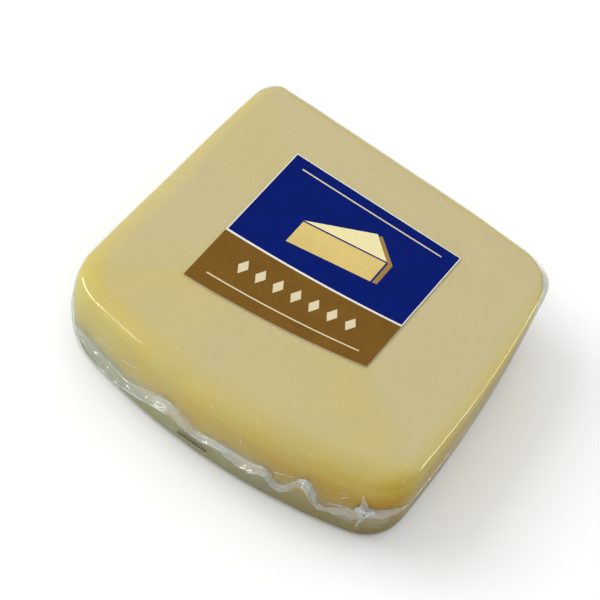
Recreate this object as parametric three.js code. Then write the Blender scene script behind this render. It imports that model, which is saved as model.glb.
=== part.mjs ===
import * as THREE from 'three';
import { LoftGeometry } from 'three/addons/geometries/LoftGeometry.js';

// A flat chunk cut from a wheel of hard cheese and sealed in tight clear film, with a label on top.
// Millimetres, +Z up. The origin is on the surface that the pack lies on, under the pack's middle.
// X runs to the right along the label, Y to the back. The front is the side of the wheel's rim.

const THICKNESS = 30;

// The plan's corners before rounding, and how far each side bulges past the chord between them.
const FRONT_LEFT = new THREE.Vector2(-49.6, -39.7);
const FRONT_RIGHT = new THREE.Vector2(50.4, -38.6);
const BACK_RIGHT = new THREE.Vector2(48.5, 43.1);
const BACK_LEFT = new THREE.Vector2(-48.2, 47.6);
const FRONT_BULGE = 7.8;
const RIGHT_BULGE = 2.1;
const BACK_BULGE = 0.7;
const LEFT_BULGE = 0.9;

// The upright corners' radii, going round from the front right.
const FRONT_RIGHT_RADIUS = 12.3;
const BACK_RIGHT_RADIUS = 11.8;
const BACK_LEFT_RADIUS = 6.6;
const FRONT_LEFT_RADIUS = 13.5;

// The film rounds the edge of the base by the same radius all round.
const BASE_RADIUS = 2.5;

// Facets round each edge and corner, and along the front, right, back and left sides.
const BASE_STEPS = 2;
const TOP_STEPS = 4;
const CORNER_STEPS = 8;
const SIDE_STEPS = [54, 24, 34, 30];

// The seam is a strip of trimmed film that stands out of the wall.
const SEAM_THICKNESS = 0.8;
const SEAM_TIP_THICKNESS = 0.5;

const LABEL_THICKNESS = 0.3;
const LABEL_BACK_LEFT = new THREE.Vector2(-25.7, 28.2);
const LABEL_BACK_RIGHT = new THREE.Vector2(26.5, 27.7);
const LABEL_FRONT_RIGHT = new THREE.Vector2(24.7, -15.3);
const LABEL_FRONT_LEFT = new THREE.Vector2(-25.8, -22.1);
const LABEL_FRONT_BULGE = 1.2;
const LABEL_ARC_STEPS = 16;

// Going round the plan, a place is a number from 0 to 8: the front side is 0 to 1, the front right
// corner 1 to 2, the right side 2 to 3, the back right corner 3 to 4, the back side 4 to 5, the back
// left corner 5 to 6, the left side 6 to 7 and the front left corner 7 to 8.
const PLACES = 8;

// The top edge is softer on the left and along the front than on the right: place, radius.
const TOP_RADII = [
  [0.2, 6.5],
  [0.7, 5],
  [1.2, 3],
  [2.5, 2],
  [3.5, 3],
  [4.5, 4],
  [5.5, 4],
  [6.2, 6],
  [7.6, 7],
];

// The seam wanders up and down the wall, and its strip stands out, droops or folds up:
// place, height of its root, reach from root to tip, tilt of the strip above level in degrees.
const SEAM_FRONT = [
  [0.0, 12.5, 3.0, -50],
  [0.1, 11.2, 3.2, -45],
  [0.2, 11.8, 2.6, -40],
  [0.26, 13.0, 2.4, -25],
  [0.33, 17.3, 3.0, -15],
  [0.39, 17.0, 2.8, -10],
  [0.44, 14.0, 2.0, -10],
  [0.49, 12.9, 1.8, -5],
  [0.56, 14.7, 2.6, -10],
  [0.63, 15.0, 3.3, -15],
  [0.7, 16.0, 1.9, 0],
  [0.74, 15.8, 2.8, -20],
  [0.78, 17.3, 2.9, -5],
  [0.83, 19.6, 3.0, 0],
  [0.865, 16.4, 2.0, 20],
  [0.9, 11.0, 1.6, -10],
  [0.97, 10.2, 1.2, -20],
];
const SEAM_RIGHT = [
  [1.1, 14.5, 3.0, -45],
  [1.35, 16.5, 1.0, 0],
  [1.7, 16.0, 0.8, 0],
  [2.5, 15.0, 0.8, 0],
  [3.5, 16.0, 1.2, 0],
];
const SEAM_FRONT_LEFT = [7.5, 14.0, 2.8, -45];

// Along the back and the left it waves unevenly about a level line: middle value and swing.
const WAVE_HEIGHT = [14.8, 1.1];
const WAVE_REACH = [2.0, 0.6];
const WAVE_TILT = [-14, 18];
const BACK_WAVES = 13;
const LEFT_WAVES = 11;

function waves(side, count) {
  const swing = ([middle, most], pace, i) => middle + most * Math.sin(pace * i + side);
  return Array.from({ length: count }, (_, i) => [
    side + (i + 0.5) / count,
    swing(WAVE_HEIGHT, 1.9, i),
    swing(WAVE_REACH, 2.3, i),
    swing(WAVE_TILT, 2.9, i),
  ]);
}

const SEAM = [
  ...SEAM_FRONT,
  ...SEAM_RIGHT,
  ...waves(4, BACK_WAVES),
  ...waves(6, LEFT_WAVES),
  SEAM_FRONT_LEFT,
];

// The value in one column of a table at a place, turning smoothly from row to row all the way round.
function valueAt(table, place, column) {
  const next = table.findIndex((row) => row[0] > place);
  const after = table[next < 0 ? 0 : next];
  const before = table[next <= 0 ? table.length - 1 : next - 1];
  const span = (after[0] - before[0] + PLACES) % PLACES;
  const gone = ((place - before[0] + PLACES) % PLACES) / span;
  return THREE.MathUtils.lerp(before[column], after[column], gone * gone * (3 - 2 * gone));
}

// The big circle that a side follows, going anticlockwise round the plan from one corner to the next.
function circleOf(from, to, bulge) {
  const chord = to.clone().sub(from);
  const half = chord.length() / 2;
  const radius = (half * half + bulge * bulge) / (2 * bulge);
  const outward = new THREE.Vector2(chord.y, -chord.x).normalize();
  const middle = from.clone().add(to).divideScalar(2);
  return { centre: middle.addScaledVector(outward, bulge - radius), radius };
}

// The circle of a given radius that touches two neighbouring sides from inside, near their corner.
function cornerOf(before, after, radius, corner) {
  const a = before.radius - radius;
  const b = after.radius - radius;
  const line = after.centre.clone().sub(before.centre);
  const gap = line.length();
  line.normalize();
  const along = (a * a - b * b + gap * gap) / (2 * gap);
  const off = Math.sqrt(a * a - along * along);
  const across = new THREE.Vector2(-line.y, line.x);
  const foot = before.centre.clone().addScaledVector(line, along);
  const options = [off, -off].map((far) => foot.clone().addScaledVector(across, far));
  options.sort((p, q) => p.distanceTo(corner) - q.distanceTo(corner));
  return { centre: options[0], radius };
}

const angleTo = (circle, point) => Math.atan2(point.y - circle.centre.y, point.x - circle.centre.x);

// Points along one arc of the plan, each with its place and the direction out of the pack.
function arcPoints(circle, start, end, steps, place) {
  const turn = (end - start + 2 * Math.PI) % (2 * Math.PI);
  return Array.from({ length: steps }, (_, i) => {
    const angle = start + (turn * i) / steps;
    const out = new THREE.Vector2(Math.cos(angle), Math.sin(angle));
    const point = circle.centre.clone().addScaledVector(out, circle.radius);
    return { point, out, place: place + i / steps };
  });
}

// The whole plan, anticlockwise from the left end of the front.
function planPoints() {
  const corners = [FRONT_LEFT, FRONT_RIGHT, BACK_RIGHT, BACK_LEFT];
  const bulges = [FRONT_BULGE, RIGHT_BULGE, BACK_BULGE, LEFT_BULGE];
  const radii = [FRONT_LEFT_RADIUS, FRONT_RIGHT_RADIUS, BACK_RIGHT_RADIUS, BACK_LEFT_RADIUS];
  const sides = corners.map((corner, i) => circleOf(corner, corners[(i + 1) % 4], bulges[i]));
  const rounds = corners.map((corner, i) => cornerOf(sides[(i + 3) % 4], sides[i], radii[i], corner));
  return sides.flatMap((side, i) => {
    const first = rounds[i];
    const last = rounds[(i + 1) % 4];
    const start = angleTo(side, first.centre);
    const end = angleTo(side, last.centre);
    const leave = angleTo(sides[(i + 1) % 4], last.centre);
    return [
      ...arcPoints(side, start, end, SIDE_STEPS[i], 2 * i),
      ...arcPoints(last, end, leave, CORNER_STEPS, 2 * i + 1),
    ];
  });
}

// The wall's profile at one place, from the base to the top: how far out of the plan, and how high.
function profile(place) {
  const top = valueAt(TOP_RADII, place, 1);
  const root = valueAt(SEAM, place, 1);
  const reach = valueAt(SEAM, place, 2);
  const tilt = THREE.MathUtils.degToRad(valueAt(SEAM, place, 3));
  const rows = [];
  for (let i = 0; i <= BASE_STEPS; i += 1) {
    const turn = (i / BASE_STEPS) * (Math.PI / 2);
    rows.push([-BASE_RADIUS * (1 - Math.sin(turn)), BASE_RADIUS * (1 - Math.cos(turn))]);
  }
  rows.push([0, (BASE_RADIUS + root) / 2]);
  const thick = SEAM_THICKNESS / 2;
  const thin = SEAM_TIP_THICKNESS / 2;
  const tip = [reach * Math.cos(tilt), root + reach * Math.sin(tilt)];
  rows.push([0, root - thick]);
  rows.push([tip[0] + thin * Math.sin(tilt), tip[1] - thin * Math.cos(tilt)]);
  rows.push([tip[0] - thin * Math.sin(tilt), tip[1] + thin * Math.cos(tilt)]);
  rows.push([0, root + thick]);
  rows.push([0, (root + THICKNESS - top) / 2]);
  for (let i = 0; i <= TOP_STEPS; i += 1) {
    const turn = (i / TOP_STEPS) * (Math.PI / 2);
    rows.push([-top * (1 - Math.cos(turn)), THICKNESS - top * (1 - Math.sin(turn))]);
  }
  return rows;
}

// The sealed pack: cheese and film as one solid, with the seam's strip fused to its wall.
function packGeometry() {
  const plan = planPoints();
  const profiles = plan.map(({ place }) => profile(place));
  const rings = profiles[0].map((_, row) =>
    plan.map(({ point, out }, i) => {
      const [far, height] = profiles[i][row];
      return new THREE.Vector3(point.x + out.x * far, point.y + out.y * far, height);
    }),
  );
  return new LoftGeometry(rings, { closed: true, capStart: true, capEnd: true });
}

// The label: straight at the back and sides, gently bowed at the front.
function labelGeometry() {
  const bow = circleOf(LABEL_FRONT_LEFT, LABEL_FRONT_RIGHT, LABEL_FRONT_BULGE);
  const shape = new THREE.Shape();
  shape.moveTo(LABEL_FRONT_LEFT.x, LABEL_FRONT_LEFT.y);
  const start = angleTo(bow, LABEL_FRONT_LEFT);
  const end = angleTo(bow, LABEL_FRONT_RIGHT);
  shape.absarc(bow.centre.x, bow.centre.y, bow.radius, start, end, false);
  shape.lineTo(LABEL_BACK_RIGHT.x, LABEL_BACK_RIGHT.y);
  shape.lineTo(LABEL_BACK_LEFT.x, LABEL_BACK_LEFT.y);
  shape.closePath();
  const depth = LABEL_THICKNESS;
  return new THREE.ExtrudeGeometry(shape, { depth, bevelEnabled: false, curveSegments: LABEL_ARC_STEPS });
}

const group = new THREE.Group();

const film = new THREE.MeshStandardMaterial({ color: 0xccbf8b, roughness: 0.25, metalness: 0 });
const pack = new THREE.Mesh(packGeometry(), film);
pack.name = 'sealed_cheese';
group.add(pack);

const print = new THREE.MeshStandardMaterial({ color: 0x051968, roughness: 0.35, metalness: 0 });
const label = new THREE.Mesh(labelGeometry(), print);
label.name = 'label';
label.position.z = THICKNESS;
group.add(label);

export default group;
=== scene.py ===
import math

import bpy
import numpy as np
from mathutils import Matrix, Quaternion, Vector


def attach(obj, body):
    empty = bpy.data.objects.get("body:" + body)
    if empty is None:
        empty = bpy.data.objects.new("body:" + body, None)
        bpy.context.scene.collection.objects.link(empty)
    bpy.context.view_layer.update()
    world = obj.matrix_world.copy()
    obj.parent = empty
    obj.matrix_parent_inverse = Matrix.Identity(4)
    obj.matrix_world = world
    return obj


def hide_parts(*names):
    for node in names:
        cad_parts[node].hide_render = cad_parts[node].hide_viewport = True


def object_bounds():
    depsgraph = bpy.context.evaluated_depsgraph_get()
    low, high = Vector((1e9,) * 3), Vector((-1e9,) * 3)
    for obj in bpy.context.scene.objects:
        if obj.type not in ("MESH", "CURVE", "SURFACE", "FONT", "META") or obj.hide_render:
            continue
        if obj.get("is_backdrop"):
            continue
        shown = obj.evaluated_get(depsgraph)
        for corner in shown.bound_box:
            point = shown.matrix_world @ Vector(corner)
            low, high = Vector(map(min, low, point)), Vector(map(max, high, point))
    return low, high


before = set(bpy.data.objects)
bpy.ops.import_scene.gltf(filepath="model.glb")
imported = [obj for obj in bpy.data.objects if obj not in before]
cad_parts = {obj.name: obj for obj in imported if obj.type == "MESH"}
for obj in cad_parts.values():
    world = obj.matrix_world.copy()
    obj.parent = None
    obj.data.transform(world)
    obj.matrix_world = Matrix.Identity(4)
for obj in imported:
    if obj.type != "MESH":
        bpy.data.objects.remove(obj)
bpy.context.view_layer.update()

# The cheese itself: a flat chunk sawn from a wheel of hard, pale, dry cheese. The front is the
# curved side of the wheel, the other three sides are cuts, and the cut corners are rounded over.
# It falls a little short of its film, most of all at the back right corner.
MM = 0.001
THICKNESS = 30
PLACES = 8
# The plan's corners and bulges, and the film's radii further on, are rounded from a fit to the photo.
CORNERS = np.array([(-49.6, -39.7), (50.4, -38.6), (48.5, 43.1), (-48.2, 47.6)])
BULGES = (7.8, 2.1, 0.7, 0.9)
CHEESE_RADII = (13.6, 12.3, 12.0, 6.6)
CHEESE_STEP = 0.7
BASE_RADIUS = 2.5

# Going round the plan, a place is a number from 0 to 8: the front is 0 to 1, the front right corner
# 1 to 2, the right side 2 to 3, and so on round to the front left corner at 7 to 8.
# Place, how far in from the side the top starts to sink and by how much, and the width and drop of
# the rounded edge outside that.
TOP_EDGE = [
    (0.0, 7.5, 0.9, 1.7, 2.0),
    (0.15, 8.0, 0.9, 2.4, 2.6),
    (0.4, 8.5, 0.8, 5.0, 5.0),
    (0.7, 8.0, 0.6, 5.0, 5.0),
    (1.0, 7.0, 0.6, 4.2, 4.6),
    (1.5, 6.5, 0.5, 3.4, 3.8),
    (2.0, 5.0, 0.3, 1.8, 1.9),
    (2.5, 5.0, 0.3, 1.2, 1.3),
    (3.5, 5.0, 0.4, 1.6, 1.7),
    (4.6, 5.0, 0.4, 3.0, 3.0),
    (4.9, 3.9, 0.25, 2.8, 3.0),
    (6.1, 3.9, 0.25, 2.8, 3.0),
    (6.6, 7.0, 0.7, 4.0, 4.4),
    (7.2, 8.0, 0.9, 2.4, 2.6),
    (7.6, 7.5, 0.9, 1.7, 2.0),
]
# Place, how far the wall leans in towards the top, and how far its belly stands out half way up.
WALL_LEAN = [
    (0.1, 0.0, 0.3),
    (0.4, 0.0, 0.0),
    (3.3, 0.0, 0.0),
    (3.7, 1.0, 0.0),
    (4.0, 0.9, 0.0),
    (4.25, 0.3, 0.0),
    (5.1, 0.3, 0.0),
    (5.7, 1.1, 0.0),
    (6.1, 0.9, 0.0),
    (6.7, 0.7, 0.0),
    (7.2, 0.8, 0.2),
    (7.5, 0.2, 1.1),
    (7.75, 0.0, 1.3),
]
# Place, and how far short of the film the cheese falls.
CHEESE_GAP = [
    (2.85, 0.1), (3.02, 1.0), (3.25, 1.5), (3.5, 0.9),
    (3.75, 0.4), (4.1, 0.1), (7.2, 0.1), (7.6, 0.4),
]
# Place, and how far in from the sides the cheese looks yellower.
EDGE_TINT = [(0.3, 10), (0.9, 10), (1.6, 8), (2.2, 5), (3.5, 4), (5.5, 4), (6.5, 7), (7.2, 10)]
# Middle and reach, as places, of the parts of the sides that have colours of their own: the right and the
# back right, where the painted shade below the seam is weaker, the front right corner, where the rind's
# ochre is darkened with painted shade, and the front left corner, made lighter with painted light.
LESS_SHADE_RIGHT = (2.7, 1.5)
LESS_SHADE_BACK_RIGHT = (3.45, 0.8)
OCHRE_SHADE_CORNER = (1.5, 1.5)
PAST_OCHRE_SHADE_CORNER = (2.3, 0.7)
LEFT_LIGHT_SHADE_HIGH = (7.7, 1.1)
LEFT_LIGHT_SHADE_LOW = (7.9, 1.3)
EDGE_ROWS = 12
SHOULDER_ROWS = 4
BASE_ROWS = 4
CHEESE_WALL_ROWS = 18
CHEESE_TOP_GAP = 0.12
CHEESE_BASE_GAP = 0.1
CHEESE_BUMP_LENGTH = 14
CHEESE_BUMP_DEPTH = 0.06
CAP_SHARES = (0.97, 0.93, 0.88, 0.82, 0.75, 0.67, 0.59, 0.5, 0.4, 0.3, 0.2, 0.1)


def circle_of(start, end, bulge):
    """The big circle that a side follows, going anticlockwise round the plan."""
    chord = end - start
    half = np.linalg.norm(chord) / 2
    radius = (half * half + bulge * bulge) / (2 * bulge)
    outward = np.array([chord[1], -chord[0]]) / (2 * half)
    return (start + end) / 2 + outward * (bulge - radius), radius


def corner_of(before, after, radius, corner):
    """The circle of a given radius that touches two sides from inside, near their corner."""
    a = before[1] - radius
    b = after[1] - radius
    line = after[0] - before[0]
    gap = np.linalg.norm(line)
    line = line / gap
    along = (a * a - b * b + gap * gap) / (2 * gap)
    off = math.sqrt(a * a - along * along)
    across = np.array([-line[1], line[0]])
    options = [before[0] + line * along + across * far for far in (off, -off)]
    return min(options, key=lambda option: np.linalg.norm(option - corner)), radius


def angle_to(circle, point):
    return math.atan2(point[1] - circle[0][1], point[0] - circle[0][0])


def outline_of(radii, step):
    """Points right round the plan, with the way out of the pack and the place of each."""
    sides = [circle_of(CORNERS[i], CORNERS[(i + 1) % 4], BULGES[i]) for i in range(4)]
    rounds = [corner_of(sides[i - 1], sides[i], radii[i], CORNERS[i]) for i in range(4)]
    points, outs, places = [], [], []
    for i, side in enumerate(sides):
        last = rounds[(i + 1) % 4]
        start = angle_to(side, rounds[i][0])
        end = angle_to(side, last[0])
        leave = angle_to(sides[(i + 1) % 4], last[0])
        for circle, first, final, place in ((side, start, end, 2 * i), (last, end, leave, 2 * i + 1)):
            turn = (final - first) % (2 * math.pi)
            share = np.arange(round(turn * circle[1] / step)) * step / (turn * circle[1])
            share = np.linspace(0, 1, len(share) + 1)[:-1]
            angle = first + turn * share
            out = np.stack([np.cos(angle), np.sin(angle)], 1)
            points.append(circle[0] + out * circle[1])
            outs.append(out)
            places.append(place + share)
    return np.concatenate(points), np.concatenate(outs), np.concatenate(places)


def value_at(table, place, column):
    """The value in one column of a table at each place, turning smoothly from row to row."""
    rows = np.array([table[-1], *table, table[0]], float)
    rows[0, 0] -= PLACES
    rows[-1, 0] += PLACES
    before = np.searchsorted(rows[:, 0], place, side="right") - 1
    gone = (place - rows[before, 0]) / (rows[before + 1, 0] - rows[before, 0])
    gone = gone * gone * (3 - 2 * gone)
    return rows[before, column] * (1 - gone) + rows[before + 1, column] * gone


def near(place, middle, reach):
    """1 at one place, falling softly to 0 at a given distance round the plan."""
    gap = np.abs((place - middle + PLACES / 2) % PLACES - PLACES / 2)
    return np.clip(1 - gap / reach, 0, 1) ** 2 * (3 - 2 * np.clip(1 - gap / reach, 0, 1))


def unevenness(points, size, seed):
    """Smooth waves between -1 and 1 at each point, made of twelve that run different ways."""
    draw = np.random.default_rng(seed)
    ways = draw.normal(size=(12, 3))
    ways /= np.linalg.norm(ways, axis=1)[:, None]
    pace = 2 * math.pi / (size * draw.uniform(0.7, 1.6, 12))
    start = draw.uniform(0, 2 * math.pi, 12)
    return np.sin(points @ (ways * pace[:, None]).T + start).sum(-1) / 5


def edge_rows(place, lowest):
    """The film's or cheese's section over the top edge: how far out of the plan, and how high."""
    shoulder, sink, wide, drop = (value_at(TOP_EDGE, place, i) for i in (1, 2, 3, 4))
    slope = 2 * sink / (shoulder - wide)
    last = np.arccos(1 / np.maximum(drop / (wide * slope) - 1, 1.25))
    rows = []
    for i in range(EDGE_ROWS):
        turn = last * i / EDGE_ROWS
        inwards = wide * (1 - np.cos(turn)) / (1 - np.cos(last))
        rows.append((-inwards, lowest - sink - drop * (1 - np.sin(turn) / np.sin(last))))
    for i in range(SHOULDER_ROWS + 1):
        gone = 1 - i / SHOULDER_ROWS
        rows.append((-shoulder + (shoulder - wide) * gone, lowest - sink * gone * gone))
    return rows


def ring(points, outs, far, height):
    """One row of points right round the pack."""
    flat = points + outs * np.reshape(far, (-1, 1))
    return np.concatenate([flat, np.broadcast_to(np.reshape(height, (-1, 1)), (len(flat), 1))], 1)


def capped(rows):
    """Rows of points with those of the flat underside and top added, towards the pack's middle."""
    def inwards(row):
        return [row * share + row.mean(0) * (1 - share) for share in CAP_SHARES]
    return np.array([*inwards(rows[0])[::-1], *rows, *inwards(rows[-1])])


def round_mesh(name, rows, values):
    """A closed mesh object through rows of points that run round the pack, with named values."""
    high, wide = rows.shape[:2]
    low_middle, top_middle = rows[0].mean(0), rows[-1].mean(0)
    points = np.concatenate([rows.reshape(-1, 3), [low_middle, top_middle]])
    across = np.arange(wide)
    beside = (across + 1) % wide
    faces = []
    for row in range(high - 1):
        low, top = row * wide, (row + 1) * wide
        faces.append(np.stack([low + across, low + beside, top + beside, top + across], 1))
    faces = np.concatenate(faces).tolist()
    bottom, crown = high * wide, high * wide + 1
    last = (high - 1) * wide
    faces += np.stack([beside, across, np.full(wide, bottom)], 1).tolist()
    faces += np.stack([last + across, last + beside, np.full(wide, crown)], 1).tolist()
    return mesh_object(name, points, faces, {
        key: np.concatenate([value.reshape(-1), [value[0].mean(), value[-1].mean()]])
        for key, value in values.items()
    })


def mesh_object(name, points, faces, values):
    """A smooth mesh object from points in millimetres, with a named value at each point."""
    mesh = bpy.data.meshes.new(name)
    mesh.from_pydata((np.asarray(points) * MM).tolist(), [], faces)
    mesh.validate()
    for key, value in values.items():
        mesh.attributes.new(key, "FLOAT", "POINT").data.foreach_set("value", value.astype(np.float32))
    mesh.shade_smooth()
    piece = bpy.data.objects.new(name, mesh)
    bpy.context.scene.collection.objects.link(piece)
    return piece


def wall_shift(place, height):
    """How far the wall stands out of the plan at each place and height, for its lean and belly."""
    lean, belly = (value_at(WALL_LEAN, place, i) for i in (1, 2))
    belly_share = np.sin(math.pi * np.clip((height - 2) / 25, 0, 1)) ** 0.8
    return belly * belly_share - lean * np.clip((height - 12) / 15, 0, 1)


points, outs, places = outline_of(CHEESE_RADII, CHEESE_STEP)
gap = value_at(CHEESE_GAP, places, 1)
top = THICKNESS - CHEESE_TOP_GAP
rows = []
for i in range(BASE_ROWS + 1):
    turn = i / BASE_ROWS * math.pi / 2
    height = CHEESE_BASE_GAP + BASE_RADIUS * (1 - math.cos(turn)) + 0 * places
    rows.append((-BASE_RADIUS * (1 - math.sin(turn)), height))
edge = edge_rows(places, top)
for i in range(1, CHEESE_WALL_ROWS):
    share = i / CHEESE_WALL_ROWS
    rows.append((0 * places, rows[BASE_ROWS][1] * (1 - share) + edge[0][1] * share))
rows += edge

# How far a point of the side lies below the top's edge. On the top it is how far in, below 0, and scaled so
# that the yellower band ends at -10. It is less on the right and back right, so the painted shade lower
# down the sides is weaker there.
tint = value_at(EDGE_TINT, places, 1)
right_shade_scale = 1 - 0.58 * near(places, *LESS_SHADE_RIGHT)
down = [np.where(far < 0, far * 10 / tint, (edge[0][1] - height) * right_shade_scale) for far, height in rows]
down = np.array(down) - 4 * near(places, *LESS_SHADE_BACK_RIGHT)
down[:BASE_ROWS] = THICKNESS
rows = capped([
    ring(points, outs, far - gap + wall_shift(places, height), height) for far, height in rows
])
pad = len(CAP_SHARES)
down = np.pad(down, ((pad, pad), (0, 0)), "edge")
bumps = unevenness(rows, CHEESE_BUMP_LENGTH, 3) * CHEESE_BUMP_DEPTH - CHEESE_BUMP_DEPTH
bumps = np.minimum(bumps, 0)
side = np.clip((THICKNESS - rows[:, :, 2]) / 4, 0, 1) * np.clip(rows[:, :, 2] / 3, 0, 1)
rows[:, :, :2] += outs[None] * (bumps * side)[:, :, None]
rows[:, :, 2] += np.where(rows[:, :, 2] > THICKNESS / 2, bumps * 0.6 * (1 - side), 0)
# The front right corner's mask, for its ochre darkened with painted shade.
ochre_shade_corner = near(places, *OCHRE_SHADE_CORNER) * (1 - 0.6 * near(places, *PAST_OCHRE_SHADE_CORNER))
# The front left corner's mask for painted light, with its own reach below the seam.
low = np.clip((14 - rows[:, :, 2]) / 3, 0, 1)
left_light_and_shade = near(places, *LEFT_LIGHT_SHADE_HIGH) * (1 - low) + near(places, *LEFT_LIGHT_SHADE_LOW) * low
cheese = round_mesh("cheese", rows, {
    "down": down,
    "ochre_shade_corner": ochre_shade_corner[None] * np.ones((len(rows), 1)),
    "left_light_and_shade": left_light_and_shade,
})


def material_of(piece, name):
    """A new material on a piece: its node tree, with a Principled shader linked to the output."""
    made = bpy.data.materials.new(name)
    made.use_nodes = True
    piece.data.materials.append(made)
    return made.node_tree


def place(tree, kind, inputs=None, **settings):
    """A new node with its settings made and its sockets linked to others or given values."""
    node = tree.nodes.new("ShaderNode" + kind)
    for key, value in settings.items():
        setattr(node, key, value)
    for key, value in (inputs or {}).items():
        if isinstance(value, bpy.types.NodeSocket):
            tree.links.new(value, node.inputs[key])
        else:
            node.inputs[key].default_value = value
    return node


def calculate(tree, operation, *values, clamp=False):
    """The result of a Math node on sockets or numbers."""
    inputs = dict(enumerate(values))
    return place(tree, "Math", inputs, operation=operation, use_clamp=clamp).outputs[0]


def blend_colours(tree, share, first, second, blend_type="MIX"):
    """The result of a colour Mix node on sockets or colours."""
    node = tree.nodes.new("ShaderNodeMix")
    node.data_type = "RGBA"
    node.blend_type = blend_type
    for socket, value in ((node.inputs[0], share), (node.inputs[6], first), (node.inputs[7], second)):
        if isinstance(value, bpy.types.NodeSocket):
            tree.links.new(value, socket)
        elif isinstance(value, tuple):
            socket.default_value = (*value, 1)
        else:
            socket.default_value = value
    return node.outputs[2]


def value_named(tree, name):
    """A named value of the mesh, as a socket."""
    return place(tree, "Attribute", attribute_name=name).outputs["Fac"]


def colour_ramp(tree, share, stops):
    """A ramp through colours, each with its share."""
    node = place(tree, "ValToRGB", {0: share})
    marks = node.color_ramp.elements
    while len(marks) < len(stops):
        marks.new(1.0)
    for mark, (spot, colour) in zip(marks, stops):
        mark.position = spot
        mark.color = (*colour, 1)
    return node.outputs[0]


# That distance below the edge, and the colour there: along most of the sides, at the front right corner,
# where the rind begins and the cheese is a deep ochre, and at the front left corner. The darker, greyer
# colours below the seam are painted shade, the front right corner is darkened further with painted shade,
# and the front left corner is lighter with painted light.
DOWN_SPAN = (-10, 24)
CHEESE_COLOURS_AND_SHADE = [
    (-10, (0.505, 0.432, 0.230)),
    (-6, (0.510, 0.434, 0.205)),
    (-2, (0.515, 0.438, 0.165)),
    (2, (0.510, 0.402, 0.112)),
    (7, (0.500, 0.405, 0.130)),
    (12, (0.485, 0.410, 0.180)),
    # From here down, below the seam, the darker and greyer colours are painted shade.
    (15.5, (0.340, 0.345, 0.210)),
    (23, (0.215, 0.220, 0.130)),
]
# Painted shade darkens this corner's ochre, most of all below the edge and the seam.
OCHRE_AND_SHADE_COLOURS = [
    (-10, (0.505, 0.432, 0.230)),
    (-6, (0.500, 0.415, 0.150)),
    (-2, (0.450, 0.360, 0.075)),
    (1, (0.420, 0.285, 0.016)),
    (4, (0.380, 0.220, 0.002)),
    (9, (0.320, 0.190, 0.004)),
    (13, (0.265, 0.182, 0.050)),
    (23, (0.172, 0.145, 0.045)),
]
# Painted light makes the front left corner lighter; below the seam its colours are painted shade, less dark
# than elsewhere.
LEFT_LIGHT_AND_SHADE_COLOURS = [
    (-10, (0.510, 0.435, 0.225)),
    (-7, (0.515, 0.425, 0.165)),
    (-4, (0.520, 0.440, 0.110)),
    (0, (0.560, 0.480, 0.145)),
    (4, (0.570, 0.470, 0.140)),
    (12.5, (0.480, 0.415, 0.175)),
    (16, (0.340, 0.355, 0.225)),
    (23, (0.300, 0.320, 0.200)),
]
CHEESE_CRYSTAL = (0.60, 0.55, 0.34)


def down_ramp(tree, share, colours):
    low, high = DOWN_SPAN
    return colour_ramp(tree, share, [((spot - low) / (high - low), colour) for spot, colour in colours])


tree = material_of(cheese, "hard_pale_cheese")
shader = tree.nodes["Principled BSDF"]
where = place(tree, "TexCoord").outputs["Object"]
broad = place(tree, "TexNoise", {"Vector": where, "Scale": 70.0, "Detail": 2.0}).outputs["Fac"]
grain = place(tree, "TexNoise", {"Vector": where, "Scale": 900.0, "Detail": 4.0}).outputs["Fac"]
spots = place(tree, "TexVoronoi", {"Vector": where, "Scale": 420.0}).outputs["Distance"]
crystal = calculate(tree, "MULTIPLY", calculate(tree, "LESS_THAN", spots, 0.16), 0.25)
drift = calculate(tree, "MULTIPLY", calculate(tree, "SUBTRACT", broad, 0.5), 3.0)
depth = calculate(tree, "ADD", value_named(tree, "down"), drift)
depth = place(tree, "MapRange", {"Value": depth, 1: DOWN_SPAN[0], 2: DOWN_SPAN[1]}).outputs[0]
# Painted shade below the seam and at the front right corner, painted light at the front left corner.
colour = down_ramp(tree, depth, CHEESE_COLOURS_AND_SHADE)
left = down_ramp(tree, depth, LEFT_LIGHT_AND_SHADE_COLOURS)
rind = down_ramp(tree, depth, OCHRE_AND_SHADE_COLOURS)
colour = blend_colours(tree, value_named(tree, "left_light_and_shade"), colour, left)
colour = blend_colours(tree, value_named(tree, "ochre_shade_corner"), colour, rind)
blotch = place(tree, "TexNoise", {"Vector": where, "Scale": 110.0, "Detail": 1.0}).outputs["Fac"]
blotch = place(tree, "MapRange", {"Value": blotch, 1: 0.35, 2: 0.65}).outputs[0]
hue = blend_colours(tree, blotch, (1.04, 0.98, 0.86), (0.97, 1.01, 1.10))
sides = place(tree, "MapRange", {"Value": depth, 1: 0.12, 2: 0.40}).outputs[0]
colour = blend_colours(tree, sides, colour, blend_colours(tree, 1.0, colour, hue, "MULTIPLY"))
colour = blend_colours(tree, crystal, colour, CHEESE_CRYSTAL)
shade = calculate(tree, "ADD", calculate(tree, "MULTIPLY", broad, 0.08), 0.96)
fleck = calculate(tree, "ADD", calculate(tree, "MULTIPLY", grain, 0.08), 0.96)
shade = calculate(tree, "MULTIPLY", shade, fleck)
grey = place(tree, "CombineColor", {0: shade, 1: shade, 2: shade}).outputs[0]
colour = blend_colours(tree, 1.0, colour, grey, "MULTIPLY")
tree.links.new(colour, shader.inputs["Base Color"])
rough = calculate(tree, "ADD", calculate(tree, "MULTIPLY", grain, 0.2), 0.5)
tree.links.new(rough, shader.inputs["Roughness"])
bump = place(tree, "Bump", {"Height": grain, "Strength": 0.25, "Distance": 0.0002})
tree.links.new(bump.outputs[0], shader.inputs["Normal"])
shader.inputs["Subsurface Weight"].default_value = 0.2
shader.inputs["Subsurface Radius"].default_value = (1.0, 0.6, 0.25)
shader.inputs["Subsurface Scale"].default_value = 0.003
shader.inputs["Specular IOR Level"].default_value = 0.08

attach(cheese, "root")
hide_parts("sealed_cheese")

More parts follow.
